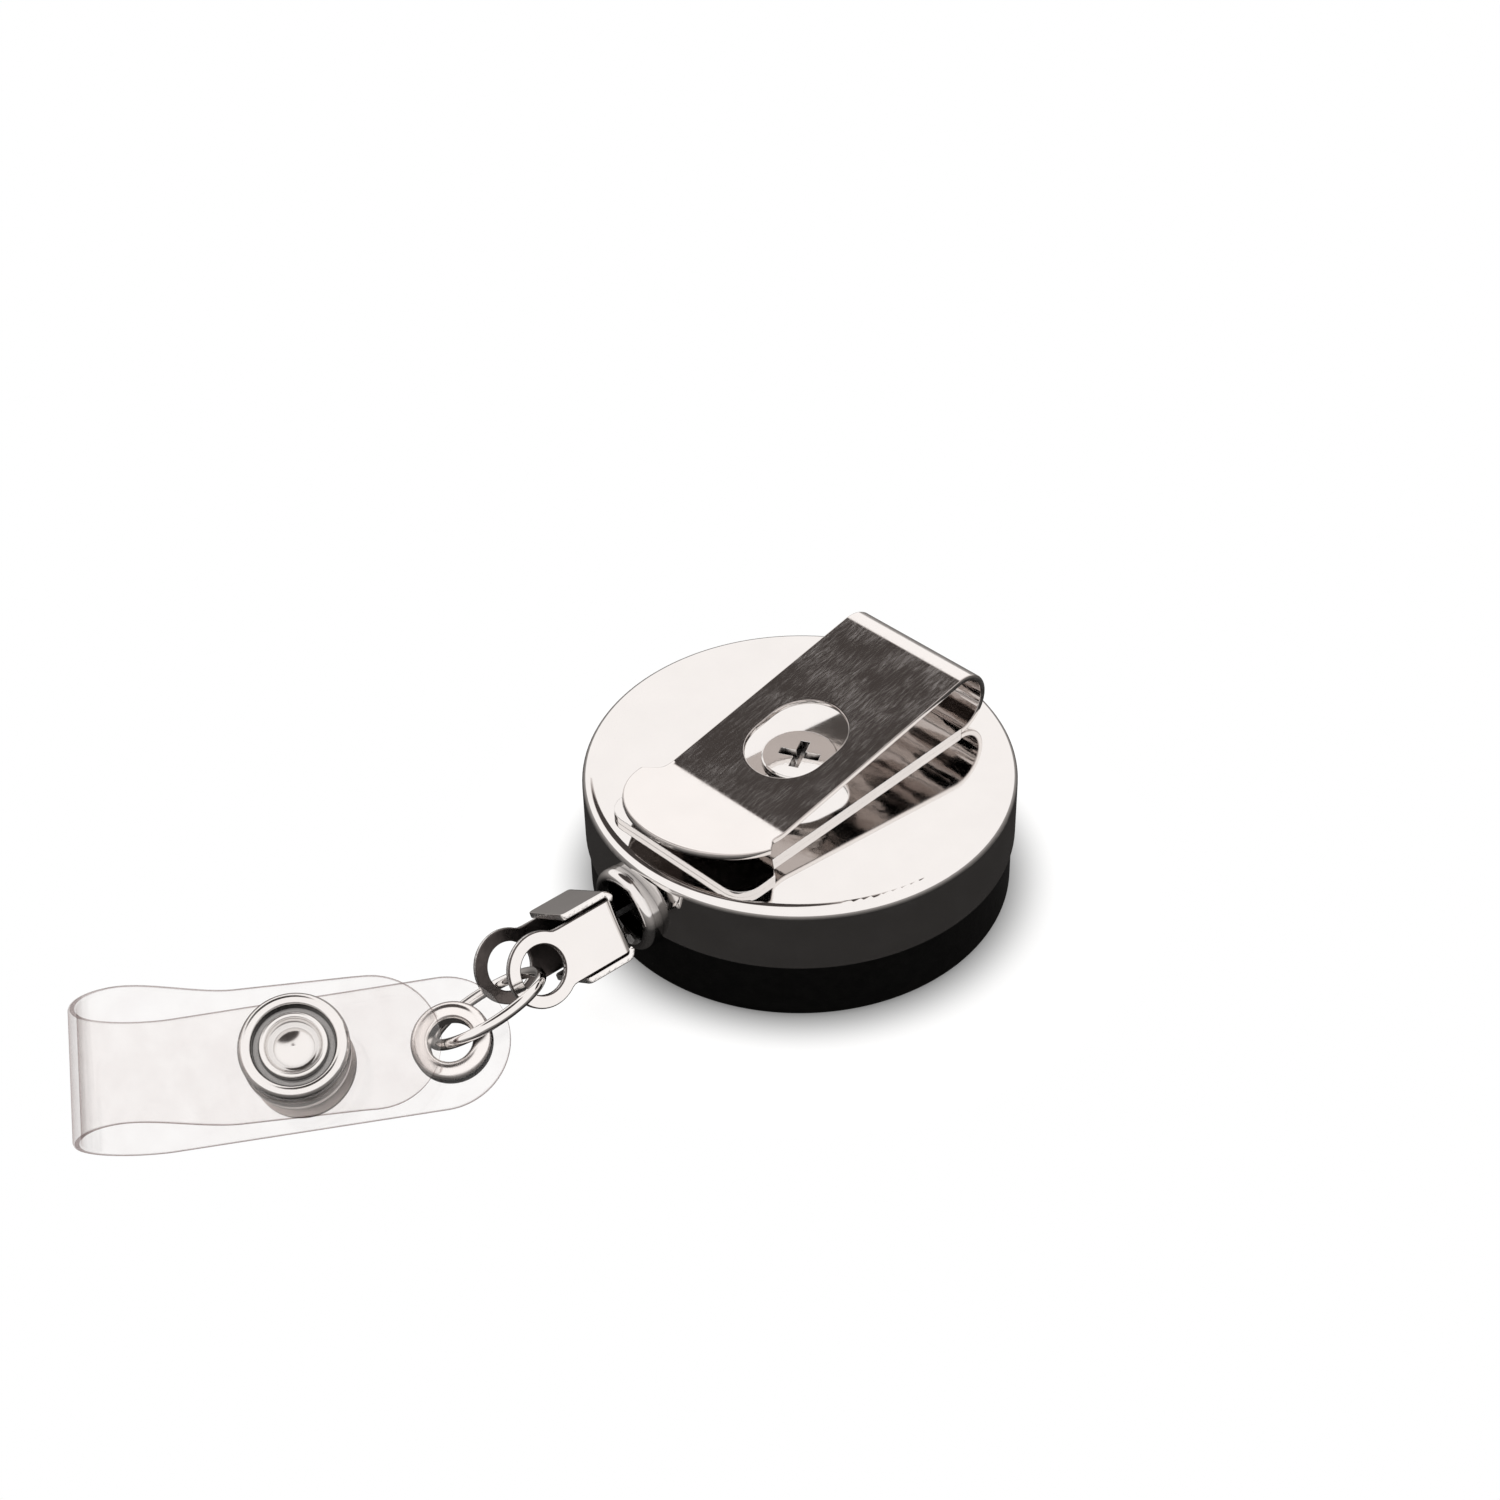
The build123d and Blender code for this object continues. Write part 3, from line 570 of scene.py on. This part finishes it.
half = STRAP_WIDTH / 2
strap_outline = arc((strap_line.length - half, 0), half, -90, 180, 40)
strap_outline += arc((half, 0), half, 90, 180, 40)
strap = sheet(
    "strap_clear",
    strap_outline,
    [arc((EYELET_AT, 0), EYELET_HOLE, 0, 360 * 35 / 36, 35)],
    FILM,
    FILM_EDGE,
    on_strap,
    steps_between(LOOP_START, strap_line.length, 0.35),
    [vinyl, vinyl_shaded_rim],
    rim=1,
)
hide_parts("strap_back", "strap_front")
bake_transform(strap)

# ---- floor, light and camera -------------------------------------------------------------------
floor_material, tree = new_material("pale_floor")
# painted reflection: mirror-like faces see the floor as a dim glow, dimmer the more steeply they look down
# on it
path = node(tree, "LightPath")
incoming = node(tree, "NewGeometry").outputs["Incoming"]
steepness = node(tree, "SeparateXYZ", Vector=incoming).outputs["Z"]
dim = spread(tree, steepness, 0.34, 0.03, 0.05, 0.62)
floor_painted_reflection = node(tree, "Emission", Strength=dim)
floor_painted_reflection.inputs["Color"].default_value = (1.0, 0.94, 0.905, 1)
# everything else sees a pale floor that glows, with a painted soft shadow where the reel meets it: the glow
# is dimmer the nearer it is to the reel's axis
position = node(tree, "NewGeometry").outputs["Position"]
flat_position = node(tree, "VectorMath", operation="MULTIPLY", i0=position, i1=(1.0, 1.0, 0.0))
from_axis = node(tree, "VectorMath", operation="LENGTH", i0=flat_position.outputs["Vector"])
from_axis = from_axis.outputs["Value"]
painted_contact_shadow = node(tree, "MapRange", Value=from_axis, interpolation_type="SMOOTHERSTEP")
SHADOW_INNER, SHADOW_OUTER = 0.0165, 0.0255
painted_contact_shadow.inputs["From Min"].default_value = SHADOW_INNER
painted_contact_shadow.inputs["From Max"].default_value = SHADOW_OUTER
painted_contact_shadow.inputs["To Min"].default_value = 0.08
painted_contact_shadow.inputs["To Max"].default_value = 0.88
glow = node(tree, "Emission", Strength=painted_contact_shadow.outputs["Result"])
glow.inputs["Color"].default_value = (1.0, 0.995, 0.99, 1)
floor_tone = spread(tree, noise(tree, node(tree, "TexCoord").outputs["Object"], 30.0), 0.19, 0.20)
pale = node(tree, "BsdfDiffuse")
tree.links.new(floor_tone, pale.inputs["Color"])
bright = node(tree, "AddShader", i0=glow.outputs[0], i1=pale.outputs[0]).outputs[0]
is_glossy = path.outputs["Is Glossy Ray"]
mixed = node(tree, "MixShader", i0=is_glossy, i1=bright, i2=floor_painted_reflection.outputs[0])
# away from the reel the floor fades into the white studio, so a strap below floor level still shows
FADE_START, FADE_END = 0.026, 0.034
far = spread(tree, from_axis, 0.0, 1.0, FADE_START, FADE_END)
faded = node(tree, "Math", operation="MULTIPLY", i0=far, i1=path.outputs["Is Camera Ray"]).outputs[0]
gone = node(tree, "BsdfTransparent").outputs[0]
shown = node(tree, "MixShader", i0=faded, i1=mixed.outputs[0], i2=gone)
node(tree, "OutputMaterial", Surface=shown.outputs[0])

bm = bmesh.new()
bmesh.ops.create_grid(bm, x_segments=1, y_segments=1, size=2.0)
floor = finish_mesh(bm, "floor", [floor_material])
floor.location = (0, 0, -0.00002)

world = bpy.data.worlds.new("studio")
bpy.context.scene.world = world
world.use_nodes = True
tree = world.node_tree
tree.nodes.clear()
path = node(tree, "LightPath")
# mirror-like faces see a bright studio with a dim horizon and one black card, beyond the clip
direction = node(tree, "TexCoord").outputs["Generated"]
height = node(tree, "SeparateXYZ", Vector=direction).outputs["Z"]
upper = spread(tree, height, 0.3, 1.09, 0.0, 0.08)
card = tuple(Vector((-0.513, 0.027, 0.852)).normalized())
CARD_OUTER, CARD_INNER = 25.0, 21.5
toward_card = node(tree, "VectorMath", operation="DOT_PRODUCT", i0=direction, i1=card)
toward_card = toward_card.outputs["Value"]
soft_edge = (math.cos(math.radians(CARD_OUTER)), math.cos(math.radians(CARD_INNER)))
clear_of_card = spread(tree, toward_card, 1.0, 0.055, *soft_edge)
tone = node(tree, "Math", operation="MULTIPLY", i0=upper, i1=clear_of_card).outputs[0]
warm = node(tree, "Mix", data_type="RGBA")
tree.links.new(clear_of_card, warm.inputs["Factor"])
warm.inputs["A"].default_value = (1.0, 0.85, 0.79, 1)
warm.inputs["B"].default_value = (1.0, 0.972, 0.958, 1)
studio = node(tree, "Background", Strength=tone)
tree.links.new(mixed_colour(warm), studio.inputs["Color"])
plain = node(tree, "Background", Strength=1.0)
plain.inputs["Color"].default_value = (1, 1, 1, 1)
is_glossy = path.outputs["Is Glossy Ray"]
mixed = node(tree, "MixShader", i0=is_glossy, i1=plain.outputs[0], i2=studio.outputs[0])
node(tree, "OutputWorld", Surface=mixed.outputs[0])


def soft_light(name, place, target, size, power):
    data = bpy.data.lights.new(name, "AREA")
    data.shape = "DISK"
    data.size = size
    data.energy = power
    light = bpy.data.objects.new(name, data)
    bpy.context.scene.collection.objects.link(light)
    light.location = place
    light.rotation_euler = (Vector(place) - Vector(target)).to_track_quat("Z", "Y").to_euler()
    light.visible_glossy = False


soft_light("key", (-0.35, -0.15, 0.6), (0, -0.02, 0), 0.45, 1.2)

camera_data = bpy.data.cameras.new("camera")
camera = bpy.data.objects.new("camera", camera_data)
bpy.context.scene.collection.objects.link(camera)
bpy.context.scene.camera = camera
camera_data.lens = 67.186
camera_data.sensor_width = 36.0
camera_data.clip_start = 0.01
CAMERA_ROLL = math.radians(-1.338)
stand = Vector((148.76, -129.30, 177.91)) * MM
aim = Vector((-11.17, 3.40, 6.0)) * MM
camera.location = stand
look = (stand - aim).to_track_quat("Z", "Y").to_matrix()
camera.rotation_euler = (look @ Matrix.Rotation(CAMERA_ROLL, 3, "Z")).to_euler()
bpy.context.scene.view_settings.view_transform = "Standard"
